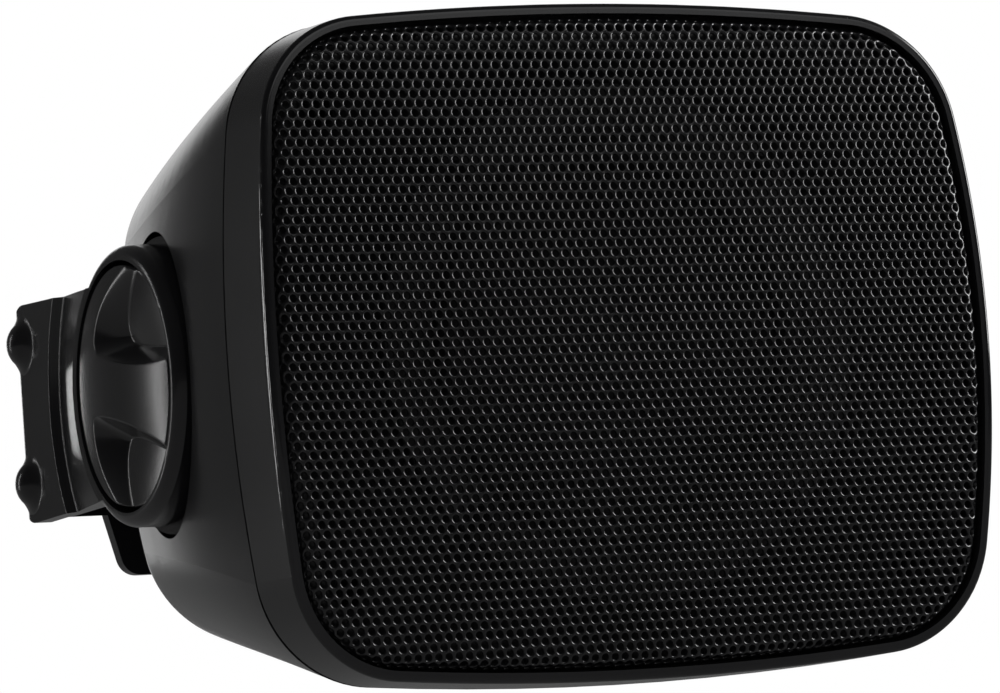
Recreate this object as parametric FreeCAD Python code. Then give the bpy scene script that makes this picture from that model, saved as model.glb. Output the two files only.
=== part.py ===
import FreeCAD, Part
import math
import os

# Wall-mount loudspeaker: bowed perforated grille in a moulded baffle, tapering cabinet, one full-range
# driver, and a yoke whose round cups sit in pockets of the cabinet and are clamped by two knobs.
# Millimetres. X is to the right seen from the front, Y runs from the front to the wall, Z is up.
# The origin is the centre of the yoke's wall face, and the tilt axis runs along X at Z = 0.
# A "setback" is a distance behind the apex of the bowed front.

os.makedirs("parts", exist_ok=True)

V = FreeCAD.Vector
ALONG_X = V(1, 0, 0)
ALONG_Y = V(0, 1, 0)
ALONG_Z = V(0, 0, 1)

# Whole object
overall_depth = 193.5          # apex of the front to the wall
face_width = 219.2             # front edge at mid height
face_height = 184.4            # front edge at mid width
face_corner_radius = 33.3
end_bow_radius = 458.0         # bow of the two short edges
long_bow_radius = 856.0        # bow of the two long edges
face_bow_radius = 605.0        # bow of the front about the X axis
moulding_wall = 3.0

# Front baffle
bezel_depth = 26.5             # apex to the seam with the cabinet
bezel_flare = 0.8              # growth of each half size from the front edge to the seam
bezel_edge_round = 1.4
seam_edge_round = 0.6
land_width = 2.6               # front edge to the grille channel
channel_depth = 7.0            # land to the ledge that carries the grille
ledge_width = 9.0
baffle_setback = 14.0          # apex to the face of the driver wall
baffle_thickness = 4.0
well_radius = 4.6              # screw wells in the corners
well_wall = 1.9
well_floor = 4.0
well_spacing_x = 170.0
well_spacing_z = 128.0

# Grille
channel_gap = 1.0              # land to grille
grille_sheet = 1.0
grille_fold_radius = 3.0
perforation_pitch = 17.0       # stands for a fine stagger of the same open share
perforation_across = 10.8      # across the flats
perforation_margin = 9.0       # rim to the outermost hole centres

# Cabinet shell
seal_thickness = 0.3
seal_inset = 0.5
wall_space = 30.5              # flat back of the cabinet to the wall
rear_round = 21.0              # rounding of the rear edges
taper_run = 130.0              # depth over which the tapers below are reached
end_taper = 19.5               # each end wall draws in by this much
end_taper_power = 1.45
long_taper = 19.0              # top and bottom draw in by this much
long_taper_power = 0.85
bow_tightening = 0.5           # share by which the edge bows tighten over the taper
loft_shares = (0.0, 0.3, 0.65, 1.0)  # places of the lofted sections along the depth

# Pivots
pivot_to_wall = 91.5
pocket_radius = 43.0
pocket_depth = 22.6            # ring's crest to the floor of each pocket
insert_radius = 6.0
insert_length = 14.0
insert_boss_wall = 3.5
stud_radius = 3.95             # thread left plain
thread_clearance = 0.05
stud_reach = 12.0              # length of stud inside the insert
washer_thickness = 1.2
washer_clearance = 0.05
washer_inner_radius = 14.0
washer_outer_radius = 32.0

# Yoke
cup_floor_thickness = 3.6
cup_flange_radius = 41.8
cup_flange_height = 8.0
ring_outer_radius = 39.5
ring_inner_radius = 35.3
arm_inset = 1.7                # front edge of the cabinet to the arm's outer face
ring_proud = 2.7               # arm's outer face to the ring's crest
ring_rise = 3.2                # height of the ring's rounded bead
valley_width = 26.0            # sloping hollow between ring and arm
valley_depth = 2.6
valley_step = 4.6              # run of the soft step from the hollow up to the arm
neck_thickness = 5.9
arm_thickness = 5.0
arm_half_height = 32.0         # at the wall
neck_half_height = 29.5        # at the ring
arm_corner_radius = 10.0
plate_thickness = 4.5
skirt_drop = 48.3              # pivot height to the lower edge of the wall plate
skirt_inset = 24.6             # arm's outer face to the skirt's upper corner
skirt_lean = 5.0               # the skirt narrows by this much on each side
skirt_corner_radius = 6.0
yoke_bend_radius = 6.0
boss_radius = 7.0              # domed bosses on the rear corners
boss_height = 4.4
boss_spacing = 41.0
boss_wall_gap = 0.3
wall_hole_radius = 3.0
wall_hole_spacing_x = 120.0
wall_hole_spacing_z = 40.0
access_width = 78.0            # opening of the wall plate behind the terminals
access_height = 40.0
access_corner_radius = 6.0

# Knobs
knob_gap = 0.6                 # ring to knob
knob_sink = 0.8                # knob's shoulder below the ring's crest
knob_dome = 3.2
knob_wall = 3.0
knob_hub_radius = 10.0
knob_rest_clearance = 0.05
grip_half_width = 8.0          # grip bar at its narrowest
grip_flare_radius = 125.0
grip_turn = 11.5               # degrees, the bar's rear end is the higher one
scoop_depth = 8.0
scoop_half_width = 23.0
scoop_centre = 16.0            # knob's axis to the middle of each scoop
scoop_crease = 6.0
knob_edge_round = 0.8

# Driver
flange_width = 10.5             # outside of the basket to the rim of its flange
flange_thickness = 1.5
basket_sheet = 1.2
basket_margin = 4.0            # surround to the outside of the basket
cutout_clearance = 1.0
gasket_thickness = 1.0
surround_outer_radius = 56.5
surround_inner_radius = 47.5
surround_glue = 2.4
surround_sheet = 0.6
cone_sheet = 0.8
cone_depth = 20.0
cone_sag = 1.5                 # bow of the cone's flank
coil_radius = 12.7             # inside of the former
former_wall = 0.3
former_length = 26.0
winding_thickness = 0.6
winding_length = 10.0
gap_clearance = 0.6
spider_outer_radius = 33.0
spider_sheet = 0.5
spider_seat_width = 6.0
spider_ridges = 4
spider_ridge_height = 1.4
spider_behind_cone = 9.0
basket_floor_behind_spider = 8.0
top_plate_radius = 36.0
top_plate_thickness = 5.0
magnet_radius = 42.0
magnet_inner_radius = 20.0
magnet_thickness = 14.0
back_plate_thickness = 5.0
vent_radius = 4.0
dust_cap_radius = 17.0
dust_cap_height = 5.0
dust_cap_sheet = 0.5
tag_height = 12.0
tag_width = 26.0
tag_thickness = 1.6
tag_tab_width = 4.0
tag_tab_reach = 8.0
tag_spacing = 14.0
basket_window_count = 4
basket_window_angle = 58.0     # degrees of each window

# Screws
driver_screw_inset = 5.0       # rim of the flange to the screws
driver_screw_count = 4
screw_head_radius = 3.6
screw_head_height = 2.4
screw_shank_radius = 1.9
driver_screw_length = 12.0
baffle_screw_length = 20.0
terminal_screw_length = 9.0

# Terminals
terminal_flange_radius = 29.0
terminal_flange_thickness = 2.5
terminal_cup_radius = 22.0
terminal_cup_depth = 18.0
terminal_wall = 2.2
terminal_fit = 0.3
terminal_screw_circle_radius = 25.6
terminal_screw_count = 4
lever_width = 9.0
lever_length = 18.0
lever_thickness = 4.0
lever_spacing = 16.0
lever_pin_radius = 1.2
lever_lift = 12.0              # cup floor to the lever's face
contact_thickness = 0.8
contact_width = 5.0
contact_tail = 8.0
lead_radius = 1.1

# Derived places
FRONT = -overall_depth
PIVOT_Y = -pivot_to_wall
half_face_w = face_width / 2
half_face_h = face_height / 2
cabinet_front = bezel_depth + seal_thickness
basket_radius = surround_outer_radius + basket_margin
flange_radius = basket_radius + flange_width
driver_screw_circle_radius = flange_radius - driver_screw_inset
cabinet_back = overall_depth - wall_space
yoke_half_width = half_face_w - arm_inset
ring_crest = yoke_half_width + ring_proud
pocket_floor = ring_crest - pocket_depth


def set_back(distance):
    """Y of a plane at a distance behind the apex of the front."""
    return FRONT + distance


def save(name, *solids):
    """Write one node: a solid, or a group of equal solids."""
    shape = solids[0] if len(solids) == 1 else Part.makeCompound(list(solids))
    shape.exportStep("parts/" + name + ".step")


def fuse(first, *others):
    """One clean solid from overlapping ones."""
    return first.fuse(list(others)).removeSplitter()


def cylinder(radius, start, end):
    """Round bar between two points."""
    along = end - start
    return Part.makeCylinder(radius, along.Length, start, along)


def closed_face(start, *steps):
    """Face bounded by straight runs (a point) and arcs (a middle and an end point)."""
    edges = []
    here = start
    for step in steps:
        if isinstance(step, tuple):
            edges.append(Part.Arc(here, step[0], step[1]).toShape())
            here = step[1]
        else:
            edges.append(Part.LineSegment(here, step).toShape())
            here = step
    if (here - start).Length > 1e-6:
        edges.append(Part.LineSegment(here, start).toShape())
    return Part.Face(Part.Wire(edges))


def turned_about_y(*points):
    """Solid of revolution about the driver's axis; points are (radius, setback)."""
    face = closed_face(*[V(radius, set_back(depth), 0) for radius, depth in points])
    return face.revolve(V(0, 0, 0), ALONG_Y, 360)


def bowed_outline(half_w, half_h, corner, y, bow=1.0):
    """Closed wire in a plane of constant y: four bowed edges joined by tangent corner arcs."""
    end_r = end_bow_radius * bow
    long_r = long_bow_radius * bow
    end_centre = half_w - end_r
    long_centre = half_h - long_r
    reach_end = end_r - corner
    reach_long = long_r - corner
    span = math.hypot(end_centre, long_centre)
    along = (reach_end ** 2 - reach_long ** 2 + span ** 2) / (2 * span)
    aside = math.sqrt(reach_end ** 2 - along ** 2)
    unit_x = -end_centre / span
    unit_z = long_centre / span
    corner_x = end_centre + along * unit_x - aside * unit_z
    corner_z = along * unit_z + aside * unit_x
    end_angle = math.atan2(corner_z, corner_x - end_centre)
    long_angle = math.atan2(corner_z - long_centre, corner_x)
    end_x = end_centre + end_r * math.cos(end_angle)
    end_z = end_r * math.sin(end_angle)
    long_x = long_r * math.cos(long_angle)
    long_z = long_centre + long_r * math.sin(long_angle)
    middle = (end_angle + long_angle) / 2
    mid_x = corner_x + corner * math.cos(middle)
    mid_z = corner_z + corner * math.sin(middle)
    arcs = (
        ((end_x, -end_z), (half_w, 0), (end_x, end_z)),
        ((end_x, end_z), (mid_x, mid_z), (long_x, long_z)),
        ((long_x, long_z), (0, half_h), (-long_x, long_z)),
        ((-long_x, long_z), (-mid_x, mid_z), (-end_x, end_z)),
        ((-end_x, end_z), (-half_w, 0), (-end_x, -end_z)),
        ((-end_x, -end_z), (-mid_x, -mid_z), (-long_x, -long_z)),
        ((-long_x, -long_z), (0, -half_h), (long_x, -long_z)),
        ((long_x, -long_z), (mid_x, -mid_z), (end_x, -end_z)),
    )
    return Part.Wire([Part.Arc(*[V(x, y, z) for x, z in arc]).toShape() for arc in arcs])


def face_outline(inset, setback):
    """Front outline drawn in by an inset."""
    return bowed_outline(half_face_w - inset, half_face_h - inset, face_corner_radius - inset, set_back(setback))


def seam_outline(inset, setback):
    """Outline at the seam drawn in by an inset."""
    grown = inset - bezel_flare
    return face_outline(grown, setback)


def prism(wire, length):
    """Straight extrusion of an outline towards the wall."""
    return Part.Face(wire).extrude(V(0, length, 0))


def behind_bow(setback):
    """Everything behind the bowed front moved back by a distance."""
    reach = face_width * 2
    centre = V(-reach / 2, set_back(setback + face_bow_radius), 0)
    return Part.makeCylinder(face_bow_radius, reach, centre, ALONG_X)


def corner_places(spacing_x, spacing_z):
    """Four places on a rectangle."""
    return [(sx * spacing_x / 2, sz * spacing_z / 2) for sx in (-1, 1) for sz in (-1, 1)]


def circle_places(radius, count, first=45.0):
    """Even places on a circle about the driver's axis."""
    turns = [math.radians(first + 360.0 * k / count) for k in range(count)]
    return [(radius * math.cos(turn), radius * math.sin(turn)) for turn in turns]


def screw(x, z, seat, length, way=1):
    """Pan-head screw whose head sits on a seat; way is +1 for a screw driven towards the wall."""
    base = V(x, seat, z)
    head = cylinder(screw_head_radius, base - V(0, way * screw_head_height, 0), base)
    rim = [edge for edge in head.Edges if abs(edge.CenterOfMass.y - base.y) > screw_head_height / 2 and edge.Closed]
    head = head.makeFillet(screw_head_height / 2, rim)
    shank = cylinder(screw_shank_radius, base, base + V(0, way * length, 0))
    return fuse(head, shank)


# Front baffle: flared ring with a bowed front, a channel for the grille and the driver wall

well_places = corner_places(well_spacing_x, well_spacing_z)
driver_screw_places = circle_places(driver_screw_circle_radius, driver_screw_count)
baffle_back = baffle_setback + baffle_thickness
well_end = cabinet_front
well_seat = well_end - well_floor
cutout_radius = basket_radius + cutout_clearance


def make_front_baffle():
    ahead = 1.0
    body = Part.makeLoft([face_outline(0, -ahead), seam_outline(0, bezel_depth)], True, True)
    body = body.common(behind_bow(0))
    front = min(body.Faces, key=lambda f: f.CenterOfMass.y)
    body = body.makeFillet(bezel_edge_round, front.OuterWire.Edges)
    seam = max(body.Faces, key=lambda f: f.CenterOfMass.y)
    body = body.makeFillet(seam_edge_round, seam.OuterWire.Edges)
    channel = prism(face_outline(land_width, -ahead), bezel_depth).cut(behind_bow(channel_depth))
    well = prism(face_outline(land_width + ledge_width, -ahead), baffle_setback + ahead)
    hollow = prism(seam_outline(moulding_wall, baffle_back), bezel_depth)
    body = body.cut([channel, well, hollow])
    tubes = [
        cylinder(well_radius + well_wall, V(x, set_back(baffle_setback), z), V(x, set_back(well_end), z))
        for x, z in well_places
    ]
    body = body.fuse(tubes).removeSplitter()
    holes = [cylinder(cutout_radius, V(0, set_back(0), 0), V(0, set_back(bezel_depth), 0))]
    for x, z in well_places:
        holes.append(cylinder(well_radius, V(x, set_back(0), z), V(x, set_back(well_seat), z)))
        holes.append(cylinder(screw_shank_radius + terminal_fit, V(x, set_back(0), z), V(x, set_back(well_end), z)))
    for x, z in driver_screw_places:
        holes.append(cylinder(screw_shank_radius, V(x, set_back(0), z), V(x, set_back(baffle_back), z)))
    return body.cut(holes)


# Grille: bowed sheet with a folded rim that stands on the ledge, and staggered perforations

grille_inset = land_width + channel_gap


def make_grille():
    ahead = 1.0
    block = prism(face_outline(grille_inset, -ahead), bezel_depth).common(behind_bow(0))
    block = block.cut(behind_bow(channel_depth))
    front = min(block.Faces, key=lambda f: f.CenterOfMass.y)
    block = block.makeFillet(grille_fold_radius, front.OuterWire.Edges)
    core = prism(face_outline(grille_inset + grille_sheet, -ahead), bezel_depth).common(behind_bow(grille_sheet))
    front = min(core.Faces, key=lambda f: f.CenterOfMass.y)
    core = core.makeFillet(grille_fold_radius - grille_sheet, front.OuterWire.Edges)
    sheet = block.cut(core)
    limit = Part.Face(face_outline(grille_inset + perforation_margin, 0))
    row_step = perforation_pitch * math.sqrt(3) / 2
    rows = int(face_height / row_step / 2)
    columns = int(face_width / perforation_pitch / 2) + 1
    holes = []
    for row in range(-rows, rows + 1):
        shift = perforation_pitch / 2 if row % 2 else 0.0
        for column in range(-columns, columns + 1):
            centre = V(column * perforation_pitch + shift, set_back(0), row * row_step)
            if limit.isInside(centre, 0.01, True):
                holes.append(perforation(centre))
    return sheet.cut(holes)


def perforation(centre):
    """Hexagonal cutter with a corner up."""
    reach = perforation_across / math.sqrt(3)
    turns = [math.radians(30 + 60 * k) for k in range(6)]
    points = [centre + V(reach * math.cos(t), -1.0, reach * math.sin(t)) for t in turns]
    return closed_face(*points).extrude(V(0, bezel_depth, 0))


# Cabinet shell: tapered and rounded moulding with screw pillars and two side pockets

def cabinet_section(setback, wall):
    """Cross-section of the tapered cabinet drawn in by a wall thickness."""
    share = (setback - cabinet_front) / taper_run
    half_w = half_face_w + bezel_flare - end_taper * share ** end_taper_power - wall
    half_h = half_face_h + bezel_flare - long_taper * share ** long_taper_power - wall
    return bowed_outline(half_w, half_h, face_corner_radius - wall, set_back(setback), 1 - bow_tightening * share)


def cabinet_form(wall):
    """Closed form of the cabinet: loft through the tapered sections, then rounded rear edges."""
    run = cabinet_back - wall - cabinet_front
    setbacks = [cabinet_front + run * share for share in loft_shares]
    body = Part.makeLoft([cabinet_section(place, wall) for place in setbacks], True, False, False, 3)
    back = max(body.Faces, key=lambda f: f.CenterOfMass.y)
    return body.makeFillet(rear_round - wall, back.OuterWire.Edges)


insert_boss_radius = insert_radius + insert_boss_wall
pillar_radius = well_radius + well_wall - 1.0
terminal_hole_radius = terminal_cup_radius + terminal_fit
terminal_screw_places = circle_places(terminal_screw_circle_radius, terminal_screw_count)


def make_cabinet_shell():
    """Outer form less a cavity that leaves pillars, pocket walls and bosses standing."""
    beyond = face_width
    standing = []
    cuts = []
    for x, z in well_places:
        top = V(x, set_back(cabinet_front), z)
        standing.append(cylinder(pillar_radius, top, V(x, set_back(cabinet_back), z)))
        cuts.append(cylinder(screw_shank_radius, top, top + V(0, baffle_screw_length, 0)))
    for side in (-1, 1):
        floor = V(side * pocket_floor, PIVOT_Y, 0)
        inner = V(side * (pocket_floor - moulding_wall), PIVOT_Y, 0)
        far = V(side * beyond, PIVOT_Y, 0)
        boss_end = V(side * (pocket_floor - insert_length - moulding_wall), PIVOT_Y, 0)
        standing.append(cylinder(pocket_radius + moulding_wall, inner, far))
        standing.append(cylinder(insert_boss_radius, boss_end, floor))
        cuts.append(cylinder(pocket_radius, floor, far))
        cuts.append(cylinder(insert_radius, floor, floor - V(side * insert_length, 0, 0)))
    back = V(0, set_back(cabinet_back), 0)
    cuts.append(cylinder(terminal_hole_radius, back - V(0, terminal_cup_depth, 0), back))
    for x, z in terminal_screw_places:
        place = back + V(x, 0, z)
        standing.append(cylinder(screw_shank_radius * 2, place - V(0, terminal_screw_length + 1.0, 0), place))
        cuts.append(cylinder(screw_shank_radius, place - V(0, terminal_screw_length, 0), place))
    cavity = cabinet_form(moulding_wall).cut(standing)
    return cabinet_form(0.0).cut(cavity).cut(cuts)


def make_cabinet_seal():
    start = bezel_depth
    outside = prism(seam_outline(seal_inset, start), seal_thickness)
    inside = prism(seam_outline(moulding_wall, start), seal_thickness)
    return outside.cut(inside)


# Yoke: one moulding of two cups, two arms and the wall plate

cup_back = pocket_floor + washer_thickness
cup_floor = cup_back + cup_floor_thickness
bore_radius = stud_radius + thread_clearance
ring_shoulder = ring_crest - ring_rise
valley_radius = ring_outer_radius + valley_width
neck_inner = yoke_half_width - neck_thickness


def make_cup(side):
    """Round cup with a base flange and a rounded bead, turned about the tilt axis."""
    bead_mid_r = ring_inner_radius + (ring_outer_radius - ring_inner_radius) * 0.64
    bead_mid_out = ring_shoulder + ring_rise * 0.75
    flange_top = cup_back + cup_flange_height

    def at(radius, out):
        return V(side * out, PIVOT_Y, radius)

    face = closed_face(
        at(bore_radius, cup_back),
        at(cup_flange_radius, cup_back),
        at(cup_flange_radius, flange_top),
        at(ring_outer_radius, flange_top),
        at(ring_outer_radius, ring_shoulder),
        (at(bead_mid_r, bead_mid_out), at(ring_inner_radius, ring_crest)),
        at(ring_inner_radius, cup_floor),
        at(bore_radius, cup_floor),
    )
    return face.revolve(V(0, PIVOT_Y, 0), ALONG_X, 360)


def make_valley(side):
    """Cutter for the soft hollow between the ring and the flat arm, turned about the tilt axis."""
    above = ring_crest + boss_height

    def at(radius, out):
        return V(side * out, PIVOT_Y, radius)

    start_radius = ring_outer_radius - (ring_outer_radius - ring_inner_radius) * 0.3
    start_out = ring_shoulder + ring_rise * 0.75
    foot_radius = valley_radius - valley_step
    foot_out = yoke_half_width - valley_depth
    bed = Part.BSplineCurve()
    bed.interpolate(
        Points=[
            at(start_radius, start_out),
            at((start_radius + foot_radius) / 2, (start_out + foot_out) / 2),
            at(foot_radius, foot_out),
            at(foot_radius + valley_step * 0.55, yoke_half_width - valley_depth * 0.4),
            at(valley_radius, yoke_half_width),
        ],
        InitialTangent=at(foot_radius, foot_out) - at(start_radius, start_out),
        FinalTangent=V(0, 0, valley_step),
    )
    start = bed.StartPoint
    end = bed.EndPoint
    walls = Part.makePolygon([end, at(valley_radius, above), at(start_radius, above), start])
    face = Part.Face(Part.Wire([bed.toShape()] + walls.Edges))
    return face.revolve(V(0, PIVOT_Y, 0), ALONG_X, 360)


def make_strap():
    """Both arms and the wall plate in plan, before their heights are cut."""
    plate_front = -plate_thickness
    arm_inner = yoke_half_width - arm_thickness
    bend = yoke_bend_radius
    inner_bend = yoke_bend_radius / 2
    slant = 1 - math.sqrt(0.5)
    neck_end = PIVOT_Y + valley_radius
    flank_end = PIVOT_Y + valley_radius - valley_step * 2.5
    ramp_end = neck_end + (arm_inner - neck_inner) * 2

    def plan(x, y):
        return V(x, y, -skirt_drop)

    return closed_face(
        plan(-ring_crest, PIVOT_Y),
        plan(-ring_crest, flank_end),
        plan(-yoke_half_width, flank_end),
        plan(-yoke_half_width, -bend),
        (plan(-yoke_half_width + bend * slant, -bend * slant), plan(-yoke_half_width + bend, 0)),
        plan(yoke_half_width - bend, 0),
        (plan(yoke_half_width - bend * slant, -bend * slant), plan(yoke_half_width, -bend)),
        plan(yoke_half_width, flank_end),
        plan(ring_crest, flank_end),
        plan(ring_crest, PIVOT_Y),
        plan(neck_inner, PIVOT_Y),
        plan(neck_inner, neck_end),
        plan(arm_inner, ramp_end),
        plan(arm_inner, plate_front - inner_bend),
        (plan(arm_inner - inner_bend * slant, plate_front - inner_bend * slant),
         plan(arm_inner - inner_bend, plate_front)),
        plan(-arm_inner + inner_bend, plate_front),
        (plan(-arm_inner + inner_bend * slant, plate_front - inner_bend * slant),
         plan(-arm_inner, plate_front - inner_bend)),
        plan(-arm_inner, ramp_end),
        plan(-neck_inner, neck_end),
        plan(-neck_inner, PIVOT_Y),
    ).extrude(V(0, 0, skirt_drop * 2))


def make_side_view():
    """Heights of the arms: a long taper with rounded rear corners."""
    beyond = ring_crest + boss_height
    corner = arm_corner_radius
    slant = 1 - math.sqrt(0.5)

    def at(y, z):
        return V(-beyond, y, z)

    return closed_face(
        at(PIVOT_Y, -neck_half_height),
        at(-corner, -arm_half_height),
        (at(-corner * slant, -arm_half_height + corner * slant), at(0, -arm_half_height + corner)),
        at(0, arm_half_height - corner),
        (at(-corner * slant, arm_half_height - corner * slant), at(-corner, arm_half_height)),
        at(PIVOT_Y, neck_half_height),
    ).extrude(V(beyond * 2, 0, 0))


def make_plate():
    """Wall plate between the arms with a skirt that hangs below them."""
    top = arm_half_height - arm_corner_radius
    upper = yoke_half_width - skirt_inset
    lower = upper - skirt_lean

    def at(x, z):
        return V(x, -plate_thickness, z)

    plate = closed_face(
        at(-upper, top), at(-upper, -neck_half_height), at(-lower, -skirt_drop),
        at(lower, -skirt_drop), at(upper, -neck_half_height), at(upper, top),
    ).extrude(V(0, plate_thickness, 0))
    corners = [
        edge for edge in plate.Edges
        if abs(edge.CenterOfMass.z + skirt_drop) < 1e-6 and abs(edge.CenterOfMass.y + plate_thickness / 2) < 1e-6
    ]
    return plate.makeFillet(skirt_corner_radius, corners)


def make_boss(side, end):
    """Domed boss over the rear bend, kept out of the space between the arms."""
    ball = (boss_radius ** 2 + boss_height ** 2) / (2 * boss_height)
    place = V(side * (yoke_half_width + boss_height - ball), -ball - boss_wall_gap, end * boss_spacing / 2)
    half = yoke_half_width - arm_thickness / 2
    depth = overall_depth - plate_thickness / 2
    between = Part.makeBox(half * 2, depth, face_height, V(-half, FRONT, -half_face_h))
    return Part.makeSphere(ball, place).cut(between)


def make_yoke():
    """One moulding of two cups, two arms and the wall plate."""
    beyond = ring_crest + boss_height
    wells = [
        cylinder(ring_inner_radius + ring_rise / 4, V(side * neck_inner / 2, PIVOT_Y, 0), V(side * beyond, PIVOT_Y, 0))
        for side in (-1, 1)
    ]
    arms = make_strap().common(make_side_view()).cut(wells)
    arms = arms.cut([make_valley(side) for side in (-1, 1)])
    cups = [make_cup(side) for side in (-1, 1)]
    bosses = [make_boss(side, end) for side in (-1, 1) for end in (-1, 1)]
    body = fuse(arms, make_plate(), *cups, *bosses)
    cuts = [
        cylinder(wall_hole_radius, V(x, -plate_thickness * 2, z), V(x, plate_thickness, z))
        for x, z in corner_places(wall_hole_spacing_x, wall_hole_spacing_z)
    ]
    access = Part.makeBox(
        access_width, plate_thickness * 3, access_height,
        V(-access_width / 2, -plate_thickness * 2, -access_height / 2),
    )
    uprights = [edge for edge in access.Edges if abs(edge.tangentAt(edge.FirstParameter).y) > 0.99]
    cuts.append(access.makeFillet(access_corner_radius, uprights))
    return body.cut(cuts)


# Knobs, studs, inserts and washers

knob_base = cup_floor + knob_rest_clearance
knob_radius = ring_inner_radius - knob_gap
knob_shoulder = ring_crest - knob_sink
knob_top = knob_shoulder + knob_dome


def make_knob(side):
    """Dome with two creased finger scoops that leave a waisted grip bar, hollow underneath."""
    ball = (knob_radius ** 2 + knob_dome ** 2) / (2 * knob_dome)
    rise = ball - math.sqrt(ball ** 2 - (knob_radius / 2) ** 2)

    def at(radius, out):
        return V(side * out, PIVOT_Y, radius)

    face = closed_face(
        at(0, knob_base),
        at(knob_radius, knob_base),
        at(knob_radius, knob_shoulder),
        (at(knob_radius / 2, knob_top - rise), at(0, knob_top)),
    )
    body = face.revolve(V(0, PIVOT_Y, 0), ALONG_X, 360)
    rim = [edge for edge in body.Edges if abs(abs(edge.CenterOfMass.x) - knob_shoulder) < 1e-6]
    body = body.makeFillet(knob_edge_round, rim)
    body = body.cut([make_scoop(side, turn) for turn in (0, 180)])
    under = cylinder(knob_radius - knob_wall, at(0, knob_base), at(0, knob_base + knob_wall))
    under = under.cut(cylinder(knob_hub_radius, at(0, knob_base), at(0, knob_base + knob_wall)))
    socket = cylinder(stud_radius, at(0, knob_base), at(0, knob_shoulder - knob_wall))
    body = body.cut([under, socket])
    body.rotate(V(0, PIVOT_Y, 0), ALONG_X, grip_turn)
    return body


def make_scoop(side, turn):
    """Cutter from two balls that meet in a soft crease, stopped by the waisted wall of the grip bar."""
    lift = (scoop_half_width ** 2 + 2 * scoop_half_width * scoop_crease - scoop_depth ** 2) / (2 * scoop_depth)
    ball = math.hypot(scoop_crease, lift + scoop_depth)
    balls = [
        Part.makeSphere(ball, V(side * (ring_crest + lift), PIVOT_Y + shift, scoop_centre))
        for shift in (-scoop_crease, scoop_crease)
    ]
    lens = balls[0].common(balls[1])
    waist_centre = V(0, PIVOT_Y, grip_half_width + grip_flare_radius)
    waist = cylinder(grip_flare_radius, waist_centre, waist_centre + V(side * yoke_half_width * 2, 0, 0))
    tool = lens.common(waist)
    tool.rotate(V(0, PIVOT_Y, 0), ALONG_X, turn)
    return tool


def make_stud(side):
    start = V(side * (pocket_floor - stud_reach), PIVOT_Y, 0)
    return cylinder(stud_radius, start, V(side * (knob_shoulder - knob_wall), PIVOT_Y, 0))


def make_insert(side):
    mouth = V(side * pocket_floor, PIVOT_Y, 0)
    end = mouth - V(side * insert_length, 0, 0)
    return cylinder(insert_radius, end, mouth).cut(cylinder(bore_radius, end, mouth))


def make_friction_washer(side):
    seat = V(side * (pocket_floor + washer_clearance), PIVOT_Y, 0)
    top = V(side * (cup_back - washer_clearance), PIVOT_Y, 0)
    return cylinder(washer_outer_radius, seat, top).cut(cylinder(washer_inner_radius, seat, top))


# Driver: pressed basket, cone with roll surround, coil, and the magnet stack behind

flange_back = baffle_setback - gasket_thickness
flange_front = flange_back - flange_thickness
surround_seat = flange_front + basket_sheet
cone_front = surround_seat - surround_sheet
cone_back = cone_front + cone_depth
former_outer = coil_radius + former_wall
spider_place = cone_back + spider_behind_cone
basket_floor = spider_place + basket_floor_behind_spider
plate_inner = former_outer + winding_thickness + gap_clearance
pole_radius = coil_radius - gap_clearance
magnet_front = basket_floor + basket_sheet + top_plate_thickness
magnet_back = magnet_front + magnet_thickness
pole_back = magnet_back + back_plate_thickness
spider_seat_radius = spider_outer_radius + spider_seat_width


def make_basket():
    """Pressed sheet: flange, surround seat, sloping wall, spider seat and floor, with windows between legs."""
    sheet = basket_sheet
    seat_inner = surround_outer_radius
    waist = spider_place + sheet
    body = turned_about_y(
        (flange_radius, flange_front),
        (flange_radius, flange_back),
        (basket_radius, flange_back),
        (basket_radius, flange_back + sheet * 2),
        (spider_seat_radius + sheet, waist),
        (top_plate_radius - sheet, waist),
        (top_plate_radius - sheet, basket_floor + sheet),
        (plate_inner, basket_floor + sheet),
        (plate_inner, basket_floor),
        (top_plate_radius - sheet * 2, basket_floor),
        (spider_outer_radius - sheet, waist),
        (spider_outer_radius - sheet, spider_place),
        (spider_seat_radius, spider_place),
        (seat_inner + sheet, flange_back + sheet * 2),
        (seat_inner, flange_back + sheet),
        (seat_inner, surround_seat),
        (surround_outer_radius + surround_glue, surround_seat),
        (surround_outer_radius + surround_glue, flange_front),
    )
    low = flange_back + sheet * 4
    high = spider_place - sheet * 2
    windows = []
    for k in range(basket_window_count):
        wedge = closed_face(
            V(0, set_back(low), 0),
            V(flange_radius, set_back(low), 0),
            V(flange_radius, set_back(high), 0),
            V(0, set_back(high), 0),
        ).revolve(V(0, 0, 0), ALONG_Y, basket_window_angle)
        wedge.rotate(V(0, 0, 0), ALONG_Y, 360.0 / basket_window_count * k + 45 - basket_window_angle / 2)
        windows.append(wedge)
    holes = [
        cylinder(screw_shank_radius + terminal_fit, V(x, set_back(0), z), V(x, set_back(baffle_setback), z))
        for x, z in driver_screw_places
    ]
    return body.cut(windows + holes)


def make_driver_gasket():
    ring = turned_about_y(
        (cutout_radius, flange_back),
        (flange_radius, flange_back),
        (flange_radius, baffle_setback),
        (cutout_radius, baffle_setback),
    )
    holes = [
        cylinder(screw_shank_radius + terminal_fit, V(x, set_back(0), z), V(x, set_back(baffle_setback), z))
        for x, z in driver_screw_places
    ]
    return ring.cut(holes)


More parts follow.
